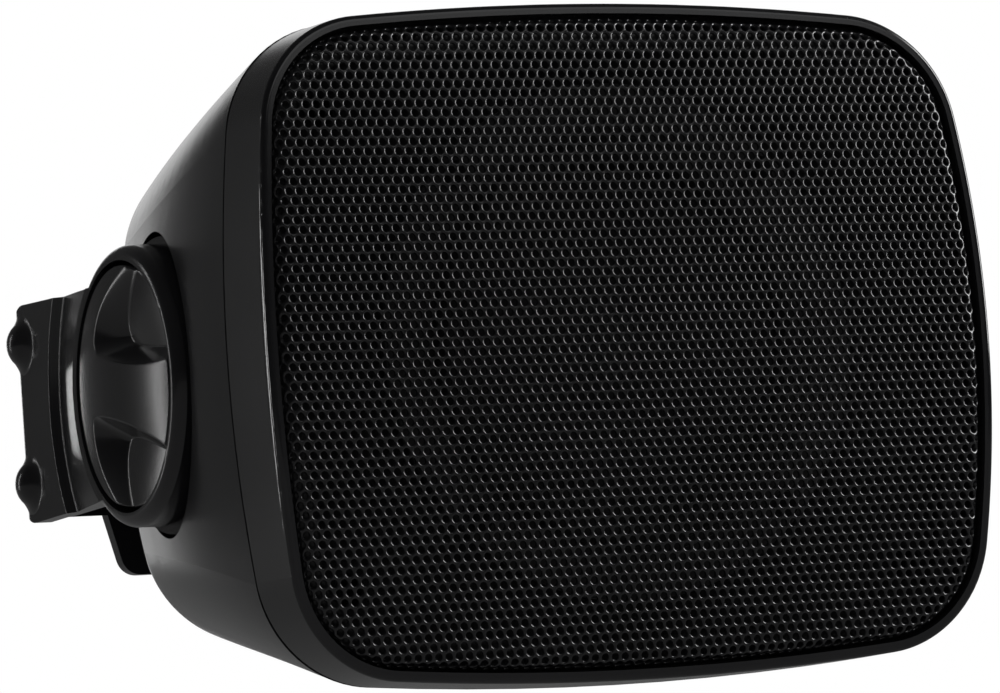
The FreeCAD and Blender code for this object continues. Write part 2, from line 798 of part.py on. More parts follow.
def make_surround():
    """Half-roll ring with a glued lip on each side."""
    roll = (surround_outer_radius - surround_inner_radius) / 2
    middle = (surround_outer_radius + surround_inner_radius) / 2
    sheet = surround_sheet

    def at(radius, depth):
        return V(radius, set_back(depth), 0)

    face = closed_face(
        at(surround_outer_radius + surround_glue, surround_seat),
        at(surround_outer_radius + surround_glue, surround_seat - sheet),
        at(surround_outer_radius, surround_seat - sheet),
        (at(middle, surround_seat - sheet - roll), at(surround_inner_radius, surround_seat - sheet)),
        at(surround_inner_radius - surround_glue, surround_seat - sheet),
        at(surround_inner_radius - surround_glue, surround_seat),
        at(surround_inner_radius + sheet, surround_seat),
        (at(middle, surround_seat - roll + sheet), at(surround_outer_radius - sheet, surround_seat)),
    )
    return face.revolve(V(0, 0, 0), ALONG_Y, 360)


def make_cone():
    """Flared paper cone with a flat lip under the surround."""
    sheet = cone_sheet
    lip = surround_inner_radius - surround_glue
    lip_front = surround_seat
    neck = former_outer
    mid_r = (lip + neck) / 2 - cone_sag
    mid_d = (lip_front + cone_back) / 2 + cone_sag

    def at(radius, depth):
        return V(radius, set_back(depth), 0)

    face = closed_face(
        at(surround_inner_radius, lip_front),
        at(lip, lip_front),
        (at(mid_r, mid_d), at(neck, cone_back)),
        at(neck, cone_back + sheet * 1.6),
        (at(mid_r + sheet * 0.2, mid_d + sheet * 1.4), at(lip, lip_front + sheet)),
        at(surround_inner_radius, lip_front + sheet),
    )
    return face.revolve(V(0, 0, 0), ALONG_Y, 360)


def cone_face_depth(radius):
    """Setback of the cone's front face at a radius, on the arc through its lip, middle and neck."""
    lip = V(surround_inner_radius - surround_glue, surround_seat, 0)
    neck = V(former_outer, cone_back, 0)
    middle = V((lip.x + neck.x) / 2 - cone_sag, (lip.y + neck.y) / 2 + cone_sag, 0)
    curve = Part.Arc(lip, middle, neck).toShape()
    cut = Part.LineSegment(V(radius, lip.y - cone_depth, 0), V(radius, neck.y + cone_depth, 0)).toShape()
    return curve.distToShape(cut)[1][0][0].y


def make_dust_cap():
    """Shallow dome glued to the cone round the coil."""
    rim = cone_face_depth(dust_cap_radius)
    sheet = dust_cap_sheet
    ball = (dust_cap_radius ** 2 + dust_cap_height ** 2) / (2 * dust_cap_height)
    top = rim - dust_cap_height
    centre = V(0, set_back(top + ball), 0)
    shell = Part.makeSphere(ball, centre).cut(Part.makeSphere(ball - sheet, centre))
    return shell.common(cylinder(dust_cap_radius * 2, V(0, set_back(top - sheet), 0), V(0, set_back(rim), 0)))


former_front = cone_back - 1.0
former_back = former_front + former_length
winding_back = former_back - 1.0


def make_former():
    return turned_about_y(
        (coil_radius, former_front),
        (former_outer, former_front),
        (former_outer, former_back),
        (coil_radius, former_back),
    )


def make_voice_coil():
    return turned_about_y(
        (former_outer, winding_back - winding_length),
        (former_outer + winding_thickness, winding_back - winding_length),
        (former_outer + winding_thickness, winding_back),
        (former_outer, winding_back),
    )


def make_spider():
    """Corrugated cloth disc from the former to the basket's seat."""
    sheet = spider_sheet
    start = former_outer
    end = spider_seat_radius - spider_sheet
    flat = 2.5
    step = (spider_outer_radius - flat - start - flat) / (2 * spider_ridges)
    upper = [(start, spider_place - sheet), (start + flat, spider_place - sheet)]
    for k in range(2 * spider_ridges - 1):
        rise = spider_ridge_height if k % 2 == 0 else -spider_ridge_height
        upper.append((start + flat + step * (k + 1), spider_place - sheet - rise))
    upper += [(spider_outer_radius - flat, spider_place - sheet), (end, spider_place - sheet)]
    lower = [(radius, depth + sheet) for radius, depth in reversed(upper)]
    return turned_about_y(*(upper + lower))


def make_top_plate():
    return turned_about_y(
        (plate_inner, basket_floor + basket_sheet),
        (top_plate_radius, basket_floor + basket_sheet),
        (top_plate_radius, magnet_front),
        (plate_inner, magnet_front),
    )


def make_magnet():
    return turned_about_y(
        (magnet_inner_radius, magnet_front),
        (magnet_radius, magnet_front),
        (magnet_radius, magnet_back),
        (magnet_inner_radius, magnet_back),
    )


def make_pole_yoke():
    """Back plate and pole in one turned piece, vented through the middle."""
    return turned_about_y(
        (vent_radius, basket_floor + basket_sheet),
        (pole_radius, basket_floor + basket_sheet),
        (pole_radius, magnet_back),
        (top_plate_radius, magnet_back),
        (top_plate_radius, pole_back),
        (vent_radius, pole_back),
    )


# Rear terminals: recessed cup with two sprung levers

terminal_face = set_back(cabinet_back) + terminal_flange_thickness
cup_inside = terminal_face - terminal_cup_depth
lever_face = cup_inside + lever_lift
lever_top = lever_length / 2
lever_places = {"lever_positive": -lever_spacing / 2, "lever_negative": lever_spacing / 2}
hinge_y = lever_face - lever_thickness / 2
hinge_z = lever_top - lever_thickness / 2
post_gap = 0.3


def make_terminal_cup():
    """Flange and round cup with the bearing cheeks of the levers and slots for the contacts."""
    back = set_back(cabinet_back)
    flange = cylinder(terminal_flange_radius, V(0, back, 0), V(0, terminal_face, 0))
    rim = [edge for edge in flange.Edges if abs(edge.CenterOfMass.y - terminal_face) < 1e-6 and edge.Closed]
    flange = flange.makeFillet(terminal_flange_thickness / 2, rim)
    can = cylinder(terminal_cup_radius, V(0, cup_inside - terminal_wall, 0), V(0, back, 0))
    room = cylinder(terminal_cup_radius - terminal_wall, V(0, cup_inside, 0), V(0, terminal_face, 0))
    body = fuse(flange, can).cut(room)
    cheek_height = lever_thickness * 1.6
    cheek_width = lever_spacing - lever_width - post_gap * 2
    cheeks = []
    for x in (-lever_spacing, 0, lever_spacing):
        width = cheek_width if x == 0 else cheek_width / 2
        left = x - width / 2
        if x < 0:
            left = -lever_spacing / 2 - lever_width / 2 - post_gap - width
        if x > 0:
            left = lever_spacing / 2 + lever_width / 2 + post_gap
        cheeks.append(Part.makeBox(
            width, hinge_y + lever_pin_radius * 2 - cup_inside + terminal_wall / 2, cheek_height,
            V(left, cup_inside - terminal_wall / 2, hinge_z - cheek_height / 2),
        ))
    body = fuse(body, *cheeks)
    cuts = []
    reach = lever_spacing * 1.5
    cuts.append(cylinder(lever_pin_radius + post_gap / 4, V(-reach, hinge_y, hinge_z), V(reach, hinge_y, hinge_z)))
    for x in lever_places.values():
        cuts.append(Part.makeBox(
            contact_width, terminal_wall * 2, contact_thickness,
            V(x - contact_width / 2, cup_inside - terminal_wall * 1.5, -lever_top),
        ))
    for x, z in terminal_screw_places:
        cuts.append(cylinder(screw_shank_radius + terminal_fit, V(x, back - 1.0, z), V(x, terminal_face, z)))
    return body.cut(cuts)


def make_lever(x):
    """Push lever with a finger scallop and a hinge pin at its upper end."""
    half = lever_width / 2

    def at(y, z):
        return V(x - half, y, z)

    radius = lever_thickness / 2
    toe = -lever_top
    profile = closed_face(
        at(hinge_y + radius, hinge_z),
        (at(lever_face - lever_thickness * 0.3, (toe + hinge_z) / 2), at(lever_face, toe)),
        at(lever_face - lever_thickness, toe),
        at(hinge_y - radius, hinge_z),
        (at(hinge_y, hinge_z + radius), at(hinge_y + radius, hinge_z)),
    )
    blade = profile.extrude(V(lever_width, 0, 0))
    pin_reach = half + post_gap + (lever_spacing - lever_width - post_gap * 2) / 2 - post_gap
    pin = cylinder(lever_pin_radius, V(x - pin_reach, hinge_y, hinge_z), V(x + pin_reach, hinge_y, hinge_z))
    return fuse(blade, pin)


def make_contact(x):
    """Flat brass strip through the cup's floor, with a solder tail inside the cabinet."""
    start = cup_inside - terminal_wall - contact_tail
    length = terminal_wall + contact_tail + lever_lift / 3
    return Part.makeBox(contact_width, length, contact_thickness, V(x - contact_width / 2, start, -lever_top))


# Tag strip on the basket and the leads that run to the terminals

tag_setback = spider_place + basket_sheet
tag_z = -top_plate_radius


def make_driver_terminal():
    """Board on the rear of the spider seat with two soldered tabs."""
    seat = set_back(tag_setback)
    board = Part.makeBox(
        tag_width, tag_thickness, tag_height, V(-tag_width / 2, seat, tag_z - tag_height),
    )
    tabs = []
    for side in (-1, 1):
        left = side * tag_spacing / 2 - tag_tab_width / 2
        tabs.append(Part.makeBox(
            tag_tab_width, tag_thickness, tag_tab_reach, V(left, seat, tag_z - tag_height - tag_tab_reach),
        ))
    return fuse(board, *tabs)


def make_lead(side):
    """Insulated lead from a tab down and back to the contact tail, straight runs joined by tangent arcs."""
    x = side * lever_spacing / 2
    start = V(side * tag_spacing / 2, set_back(tag_setback) + tag_thickness, tag_z - tag_height - tag_tab_reach / 2)
    end = V(x, cup_inside - terminal_wall - contact_tail, -lever_top + contact_thickness / 2)
    bend = 10.0
    low = start.z
    turn = V(end.x, end.y - bend * 1.6, low)
    direction = (turn - start).normalize()
    first_end = turn - direction * bend
    second_start = V(turn.x, turn.y, low + bend)
    centre_mid = turn + (direction * -1 + ALONG_Z) * (bend * (1 - math.sqrt(0.5)))
    lift = V(turn.x, turn.y, end.z)
    rise_end = lift - V(0, 0, bend)
    reach_start = lift + V(0, bend, 0)
    lift_mid = lift + (ALONG_Y - ALONG_Z) * (bend * (1 - math.sqrt(0.5)))
    path = Part.Wire([
        Part.LineSegment(start, first_end).toShape(),
        Part.Arc(first_end, centre_mid, second_start).toShape(),
        Part.LineSegment(second_start, rise_end).toShape(),
        Part.Arc(rise_end, lift_mid, reach_start).toShape(),
        Part.LineSegment(reach_start, end).toShape(),
    ])
    ring = Part.Wire(Part.makeCircle(lead_radius, start, direction))
    return path.makePipeShell([ring], True, False)


# Nodes

save("front_baffle", make_front_baffle())
save("grille", make_grille())
save("cabinet_shell", make_cabinet_shell())
save("cabinet_seal", make_cabinet_seal())
save("baffle_screws", *[screw(x, z, set_back(well_seat), baffle_screw_length) for x, z in well_places])
save("yoke_bracket", make_yoke())
for side_name, side in (("left", -1), ("right", 1)):
    save("knob_" + side_name, make_knob(side))
    save("knob_stud_" + side_name, make_stud(side))
    save("pivot_insert_" + side_name, make_insert(side))
    save("friction_washer_" + side_name, make_friction_washer(side))
save("driver_basket", make_basket())
save("driver_gasket", make_driver_gasket())
save("driver_screws", *[screw(x, z, set_back(flange_front), driver_screw_length) for x, z in driver_screw_places])
save("surround", make_surround())
save("cone", make_cone())
save("dust_cap", make_dust_cap())
save("voice_coil_former", make_former())
save("voice_coil", make_voice_coil())
save("spider", make_spider())
save("top_plate", make_top_plate())
save("magnet", make_magnet())
save("pole_yoke", make_pole_yoke())
save("driver_terminal", make_driver_terminal())
save("lead_positive", make_lead(-1))
save("lead_negative", make_lead(1))
save("terminal_cup", make_terminal_cup())
save("terminal_contacts", *[make_contact(x) for x in lever_places.values()])
for lever_name, lever_x in lever_places.items():
    save(lever_name, make_lever(lever_x))
save("terminal_screws", *[
    screw(x, z, terminal_face, terminal_screw_length, -1) for x, z in terminal_screw_places
])
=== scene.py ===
import math

import bpy
import numpy as np
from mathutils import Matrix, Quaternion, Vector


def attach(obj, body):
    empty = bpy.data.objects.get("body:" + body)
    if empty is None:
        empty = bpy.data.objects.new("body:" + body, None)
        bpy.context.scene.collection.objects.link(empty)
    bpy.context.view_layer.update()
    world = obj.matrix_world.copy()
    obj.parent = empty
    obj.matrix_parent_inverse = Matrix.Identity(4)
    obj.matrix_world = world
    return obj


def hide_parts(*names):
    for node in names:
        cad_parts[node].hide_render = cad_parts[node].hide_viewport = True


# Wall-mount loudspeaker in satin black: perforated grille, moulded cabinet, yoke and clamping knobs.
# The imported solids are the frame. The perforated grille is drawn here hole by hole. The knobs get their
# creased scoops, the yoke its soft bosses and hollows, and the bezel a slim bevel round its front edge.

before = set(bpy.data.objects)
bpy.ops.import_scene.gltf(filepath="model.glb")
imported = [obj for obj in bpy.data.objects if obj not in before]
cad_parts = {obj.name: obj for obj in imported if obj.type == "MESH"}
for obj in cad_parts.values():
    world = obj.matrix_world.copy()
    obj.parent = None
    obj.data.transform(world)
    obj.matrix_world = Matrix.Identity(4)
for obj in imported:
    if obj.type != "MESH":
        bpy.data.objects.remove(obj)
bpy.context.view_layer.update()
scene = bpy.context.scene
MM = 0.001

# Sizes in millimetres; those of the face, ring, arm and pivot are the solids' own
FRONT_Y = -193.5               # apex of the bowed front
FACE_BOW = 605.0               # bow of the front about the X axis
END_BOW = 458.0                # bow of the face's two short edges
LONG_BOW = 856.0               # bow of its two long edges
FACE_HALF_W = 109.6
FACE_HALF_H = 92.15
FACE_CORNER = 33.3
BEVEL_TILT = 6.9               # degrees, bevel of the bezel's front edge against straight back
BEVEL_LENGTH = 1.1
BEVEL_FLAT = 0.04              # rows this close to the bevel's ends keep it flat
BEVEL_MIDDLE = 0.5             # row between them
BEVEL_ROUND = 1.0              # roll from the bevel to the front
ROLL_INSET = 1.005             # bezel's edge to the middle of that roll
ROLL_DEPTH = 0.98              # front to the middle of that roll
ROOT_INSET = (-0.09, -0.13)    # where the bevel's section leaves the bezel's side
ROOT_DEPTH = (4.2, 2.0)
FOOT_INSET = 1.7               # where it ends under the front
FOOT_DEPTH = 0.02
GRILLE_INSET = 3.6             # front edge to the grille
GRILLE_HALF_W = FACE_HALF_W - GRILLE_INSET
GRILLE_HALF_H = FACE_HALF_H - GRILLE_INSET
GRILLE_CORNER = FACE_CORNER - GRILLE_INSET
GRILLE_FOLD = 3.0
FOLD_END = 82.0                # degrees, the folded rim leans a little outwards
GRILLE_RIM = 3.0               # how far hole centres go past the fold
GRILLE_SHEET = 1.0
BAND_EDGES = (-46.0, 0.0, 46.0)     # heights at which the grille is split into pieces
HOLE_PITCH = 3.0
HOLE_START = (-2.52, 2.48)     # centre of one hole near the middle of the face
HOLE_ROWS = 40                 # rows above and below that hole, past the rim
HOLE_COLUMNS = 45              # holes to its left and right, past the rim
HOLE_SIDES = 12
HOLE_RADIUS = 1.0
HOLE_ROUND = 0.42              # pressed rounding of each hole's edge
CELL_JOIN = 0.004              # grid on which points that neighbouring cells share become one
PIVOT_Y = -91.5
RING_CREST = 110.6
KNOB_RADIUS = 34.0
KNOB_SHOULDER = RING_CREST - 0.3
KNOB_DOME = 2.9                # rise of the knob's face from its rim to the middle
KNOB_EDGE = 0.8                # rounding of the knob's rim
KNOB_WALL = 9.0                # depth of the knob's wall that can be seen
GRIP_TURN = 11.5               # degrees, the bar's rear end is the higher one
GRIP_DROP = 1.2                # knob's axis to the middle of the bar
GRIP_HALF_WIDTH = 7.9
GRIP_FLARE = 130.0             # radius of the bar's waisted walls
GRIP_WALL_SLOPE = 4.5
GRIP_WALL_FOOT = 1.2           # soft foot of the bar's wall
GRIP_EDGE = 0.35               # soft edge round each scoop
SCOOP_REAR = 18.5              # knob's axis to the rear end of a scoop
SCOOP_SWEEP = 0.04             # how fast the rear end runs forward, by the square of the distance
SCOOP_SHOULDER = 13.0          # middle of the bar to where that starts
SCOOP_CORNER = 8.0             # soft corner between rear end and bar
SCOOP_SIDE = 3.0               # how many times as steep the rear half is beside the bar
SCOOP_CREASE = 0.3             # softness of the crease between its two halves
REAR_SLOPE = 0.46              # fall from the rear end towards the front
FLOOR_DEPTH = 8.2              # front half of a scoop beside the bar
FLOOR_RISE = 0.26              # its rise from the bar to the rim
ARM_FACE = 107.9
ARM_BEND = 6.0
BOSS_SPACING = 41.0
BOSS_REACH = 9.4               # middle of a boss to where it runs out
BOSS_HEIGHT = 4.4
BOSS_SINK = 0.02               # how far its rim lies inside the arm
BOSS_BEHIND = -2.1             # start of the bend to the middle of a boss
ARM_HALF_HEIGHT = 32.0         # at the wall
NECK_HALF_HEIGHT = 29.5        # at the ring
ARM_LENGTH = 81.5              # between those two heights
FLANK_INNER = 38.0             # tilt axis to the inner end of the hollow's surface
FLANK_OUTER = 66.2             # tilt axis to its outer end
FLANK_START = 38.5             # tilt axis to where the slope outside the ring starts
FLANK_SLOPE = 0.178
FLANK_DROP = 0.74              # ring's crest to where that slope starts
FLANK_LAP = 0.03               # height over the flat arm
FLANK_FOOT = 0.5               # soft foot of the step
FLANK_SKIRT = 1.6              # depth to which its edges turn down
STEP_TOP = 64.1                # tilt axis to where the step meets the flat arm
STEP_SLOPE = 0.75
STEP_EDGE = 0.3                # soft edge of the step
SHARP_ANGLE = 50.0             # degrees between faces past which an edge stays sharp
DRIFT = 45.0                   # width of the slow drift of colour in a finish

# Light of the studio
BACKDROP = (0.438, 0.897, 0.0)      # direction of the white backdrop
BACKDROP_EDGE = (0.86, 0.93)        # cosines to it between which the backdrop turns white
ROOM_LIGHT = 0.8                    # what dull surfaces get from all round
ROOM_MIRRORED = (0.008, 0.065)      # what mirror rays find away from the backdrop and towards it
ROOM_TURN = (0.0, 0.6)              # cosines between which that grows
FLOOR_HALF = 30.0                   # metres
FLOOR_LEVEL = -0.75                 # metres


# Materials

def srgb(text):
    """Linear colour of an sRGB hex colour."""
    shares = [int(text[i:i + 2], 16) / 255 for i in (1, 3, 5)]
    return tuple(s / 12.92 if s <= 0.04045 else ((s + 0.055) / 1.055) ** 2.4 for s in shares) + (1.0,)


def add(tree, kind, settings=None, **sockets):
    """Add one node: settings are its properties, sockets its inputs as values or as links."""
    node = tree.nodes.new("ShaderNode" + kind)
    for name, value in (settings or {}).items():
        setattr(node, name, value)
    for name, value in sockets.items():
        key = int(name[1:]) if name[0] == "_" else name.replace("_", " ")
        if isinstance(value, bpy.types.NodeSocket):
            tree.links.new(value, node.inputs[key])
        else:
            node.inputs[key].default_value = value
    return node


def new_material(name):
    """An empty material with a shader, its tree and Object coordinates."""
    material = bpy.data.materials.new(name)
    material.use_nodes = True
    tree = material.node_tree
    tree.nodes.clear()
    shader = add(tree, "BsdfPrincipled")
    add(tree, "OutputMaterial", Surface=shader.outputs[0])
    place = add(tree, "TexCoord").outputs["Object"]
    return material, tree, shader, place


def grained_finish(name, dark, light, rough_low, rough_high, grain_mm, grain_depth_mm, specular):
    """Moulded, painted or pressed surface: fine grain in the bump, slow drift of colour and gloss."""
    material, tree, shader, place = new_material(name)
    drift = add(tree, "TexNoise", Vector=place, Scale=1 / (DRIFT * MM), Detail=2.0).outputs["Fac"]
    tone = add(tree, "ValToRGB", Fac=drift)
    tone.color_ramp.elements[0].position = 0.3
    tone.color_ramp.elements[0].color = srgb(dark)
    tone.color_ramp.elements[1].position = 0.7
    tone.color_ramp.elements[1].color = srgb(light)
    gloss = add(tree, "MapRange", Value=drift, To_Min=rough_low, To_Max=rough_high).outputs[0]
    grain = add(tree, "TexNoise", Vector=place, Scale=1 / (grain_mm * MM), Detail=3.0, Roughness=0.6)
    relief = add(tree, "Bump", Height=grain.outputs["Fac"], Strength=1.0, Distance=grain_depth_mm * MM)
    tree.links.new(tone.outputs[0], shader.inputs["Base Color"])
    tree.links.new(gloss, shader.inputs["Roughness"])
    tree.links.new(relief.outputs[0], shader.inputs["Normal"])
    shader.inputs["Specular IOR Level"].default_value = specular
    return material


def streaked_metal(name, colour, rough, streak_mm):
    """Plated or turned metal with faint streaks in the gloss."""
    material, tree, shader, place = new_material(name)
    streak = add(tree, "TexNoise", Vector=place, Scale=1 / (streak_mm * MM), Detail=4.0).outputs["Fac"]
    gloss = add(tree, "MapRange", Value=streak, To_Min=rough * 0.8, To_Max=rough * 1.25).outputs[0]
    tree.links.new(gloss, shader.inputs["Roughness"])
    shader.inputs["Base Color"].default_value = srgb(colour)
    shader.inputs["Metallic"].default_value = 1.0
    return material


# Each finish has its dark and light tone, roughness range, grain width and depth, and specular level. The
# grains are drawn wider than the real ones of about a tenth of a millimetre, so that they show.

# Spark-eroded ABS: satin, with a faint grain that breaks up wide highlights
cabinet_plastic = grained_finish("moulded_black_plastic", "#0d0d0e", "#101011", 0.18, 0.21, 0.5, 0.01, 0.45)
# The same ABS where the tool was polished: a thin bright line along the bezel's edge
edge_plastic = grained_finish("moulded_black_edge", "#0d0d0e", "#101011", 0.09, 0.11, 0.5, 0.002, 0.5)
# Glass-filled nylon from a smoother tool: a clear band of light in the hollows
yoke_plastic = grained_finish("moulded_black_plastic_smooth", "#0c0c0d", "#0f0f10", 0.18, 0.21, 0.45, 0.004,
                              0.5)
# The same nylon, rubbed by fingers: the glossiest of the black pieces
knob_plastic = grained_finish("moulded_black_knob", "#0a0a0b", "#0d0d0e", 0.15, 0.18, 0.45, 0.004, 0.5)
# Powder coat on perforated steel: low orange peel, a bright crescent on each hole's edge
powder_coat = grained_finish("black_powder_coat", "#0a0a0b", "#0d0d0e", 0.18, 0.22, 0.8, 0.003, 0.5)
# Moulded ABS of the terminals: dull cup, glossy levers
terminal_plastic = grained_finish("terminal_plastic", "#151516", "#19191a", 0.45, 0.55, 0.6, 0.015, 0.4)
lever_red = grained_finish("red_lever_plastic", "#9c1d1c", "#a82322", 0.3, 0.38, 0.6, 0.006, 0.5)
lever_black = grained_finish("black_lever_plastic", "#17171a", "#1b1b1c", 0.3, 0.38, 0.6, 0.006, 0.5)
# Sprayed paint on pressed steel: soft sheen with a coarse peel
basket_paint = grained_finish("black_basket_paint", "#161617", "#1a1a1b", 0.4, 0.5, 1.2, 0.01, 0.45)
# Cell foam: dead matt and pitted
foam_rubber = grained_finish("black_foam", "#111112", "#151516", 0.85, 0.95, 0.4, 0.05, 0.2)
# Pressed butyl rubber: dull sheen
surround_rubber = grained_finish("moulded_rubber", "#131314", "#161617", 0.5, 0.6, 0.7, 0.01, 0.4)
# Coated paper pulp: matt with a felted relief
cone_pulp = grained_finish("coated_paper_pulp", "#17171a", "#1d1d1e", 0.6, 0.75, 0.9, 0.04, 0.3)
# Resin-stiffened cotton: matt and brown
spider_cloth = grained_finish("stiffened_cloth", "#8a6a38", "#a17c45", 0.8, 0.9, 0.5, 0.05, 0.2)
# Ground ferrite: dark grey with a dull sheen
ferrite = grained_finish("ground_ferrite", "#2c2c2e", "#343436", 0.5, 0.6, 0.5, 0.02, 0.4)
# Pressed board: matt and brown
tag_board = grained_finish("pressed_board", "#6d5133", "#7d5e3c", 0.6, 0.7, 0.8, 0.02, 0.3)
# Drawn PVC insulation: smooth sheen
lead_insulation = grained_finish("lead_insulation", "#1a1a1b", "#1e1e1f", 0.35, 0.45, 2.0, 0.01, 0.45)
# Metals, plated, blackened, turned, enamelled and rolled: streaks in the gloss
zinc_steel = streaked_metal("zinc_plated_steel", "#8d8f92", 0.35, 1.5)
dark_screw = streaked_metal("blackened_steel", "#2a2a2c", 0.38, 1.2)
brass = streaked_metal("turned_brass", "#b8974a", 0.3, 0.8)
copper = streaked_metal("enamelled_copper", "#a85c33", 0.32, 0.5)
foil = streaked_metal("former_foil", "#b4b7bb", 0.35, 2.0)

finishes = {
    cabinet_plastic: ("front_baffle", "cabinet_shell"),
    yoke_plastic: ("yoke_bracket",),
    knob_plastic: ("knob_left", "knob_right"),
    foam_rubber: ("cabinet_seal", "driver_gasket", "friction_washer_left", "friction_washer_right"),
    dark_screw: ("baffle_screws", "driver_screws", "terminal_screws"),
    zinc_steel: ("knob_stud_left", "knob_stud_right", "top_plate", "pole_yoke"),
    brass: ("pivot_insert_left", "pivot_insert_right", "terminal_contacts"),
    basket_paint: ("driver_basket",),
    surround_rubber: ("surround",),
    cone_pulp: ("cone", "dust_cap"),
    foil: ("voice_coil_former",),
    copper: ("voice_coil",),
    spider_cloth: ("spider",),
    ferrite: ("magnet",),
    tag_board: ("driver_terminal",),
    lead_insulation: ("lead_positive", "lead_negative"),
    terminal_plastic: ("terminal_cup",),
    lever_red: ("lever_positive",),
    lever_black: ("lever_negative",),
}
for finish, names in finishes.items():
    for node_name in names:
        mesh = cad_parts[node_name].data
        mesh.materials.clear()
        mesh.materials.append(finish)


# Meshes

def mesh_object(name, points, faces):
    """Object at the origin from points in millimetres and faces, smooth below a sharp angle."""
    mesh = bpy.data.meshes.new(name)
    mesh.from_pydata((points * MM).tolist(), [], faces.tolist())
    mesh.validate()
    mesh.shade_smooth()
    mesh.set_sharp_from_angle(angle=math.radians(SHARP_ANGLE))
    obj = bpy.data.objects.new(name, mesh)
    scene.collection.objects.link(obj)
    return obj


def grid_object(name, x, y, z, flip=False):
    """Object from a grid of points; faces run over columns, then rows."""
    points = np.stack(np.broadcast_arrays(x, y, z), -1)
    columns, rows = points.shape[:2]
    at = np.arange(columns * rows).reshape(columns, rows)
    faces = np.stack([at[:-1, :-1], at[1:, :-1], at[1:, 1:], at[:-1, 1:]], -1).reshape(-1, 4)
    return mesh_object(name, points.reshape(-1, 3), faces[:, ::-1] if flip else faces)


# Perforated grille

def outline_distance(x, z, half_w, half_h, corner):
    """Distance inside a bowed outline and the outward direction, for plane points.

    Each quarter of the outline is a wide arc for the end, a wide arc for the long edge and a corner arc
    tangent to both; inside the corner's wedge the corner arc counts, elsewhere the nearer wide arc.
    """
    side_x = np.sign(x) + (x == 0)
    side_z = np.sign(z) + (z == 0)
    ax = np.abs(x)
    az = np.abs(z)
    end_centre = half_w - END_BOW
    long_centre = half_h - LONG_BOW
    reach_end = END_BOW - corner
    reach_long = LONG_BOW - corner
    span = math.hypot(end_centre, long_centre)
    along = (reach_end ** 2 - reach_long ** 2 + span ** 2) / (2 * span)
    aside = math.sqrt(reach_end ** 2 - along ** 2)
    cx = end_centre - along * end_centre / span - aside * long_centre / span
    cz = along * long_centre / span - aside * end_centre / span
    end_d = END_BOW - np.hypot(ax - end_centre, az)
    long_d = LONG_BOW - np.hypot(ax, az - long_centre)
    past_end = (ax - end_centre) * cz < az * (cx - end_centre)
    past_long = (az - long_centre) * cx < ax * (cz - long_centre)
    wedge = past_end & past_long
    use_end = (end_d < long_d) & ~wedge
    centre_x = np.where(wedge, cx, np.where(use_end, end_centre, 0.0))
    centre_z = np.where(wedge, cz, np.where(use_end, 0.0, long_centre))
    radius = np.where(wedge, corner, np.where(use_end, END_BOW, LONG_BOW))
    away_x = ax - centre_x
    away_z = az - centre_z
    length = np.maximum(np.hypot(away_x, away_z), 1e-9)
    return radius - length, side_x * away_x / length, side_z * away_z / length


def grille_place(u, v, below):
    """Points of the grille sheet from flat-pattern places, at a depth below its outer face.

    Inside the fold line the sheet follows the bowed front. Past it the flat pattern rolls over a little less
    than a quarter circle and then runs straight back.
    """
    inside, out_x, out_z = outline_distance(u, v, GRILLE_HALF_W, GRILLE_HALF_H, GRILLE_CORNER)
    past = np.maximum(GRILLE_FOLD - inside, 0.0)
    end = math.radians(FOLD_END)
    turn = np.minimum(past / GRILLE_FOLD, end)
    straight = np.maximum(past - GRILLE_FOLD * end, 0.0)
    pull = past - GRILLE_FOLD * np.sin(turn) - straight * math.cos(end)
    x = u - out_x * pull
    z = v - out_z * pull
    lean = z / FACE_BOW
    y = FRONT_Y + FACE_BOW * (1 - np.sqrt(1 - lean ** 2)) + GRILLE_FOLD * (1 - np.cos(turn))
    y = y + straight * math.sin(end)
    normal_x = np.sin(turn) * out_x
    normal_y = -np.cos(turn) * np.sqrt(1 - lean ** 2)
    normal_z = np.sin(turn) * out_z + np.cos(turn) * lean
    return np.stack([x - normal_x * below, y - normal_y * below, z - normal_z * below], -1)


def grille_lattice():
    """Flat-pattern hole centres: rows along X, every second row moved by half a pitch."""
    row_step = HOLE_PITCH * math.sqrt(3) / 2
    rows = np.arange(-HOLE_ROWS, HOLE_ROWS + 1)
    columns = np.arange(-HOLE_COLUMNS, HOLE_COLUMNS + 1)
    row, column = np.meshgrid(rows, columns, indexing="ij")
    u = HOLE_START[0] + HOLE_PITCH * (column + 0.5 * (row % 2))
    v = HOLE_START[1] + row_step * row
    inside = outline_distance(u, v, GRILLE_HALF_W, GRILLE_HALF_H, GRILLE_CORNER)[0]
    keep = inside > GRILLE_FOLD - GRILLE_FOLD * math.pi / 2 - GRILLE_RIM
    return u[keep], v[keep]


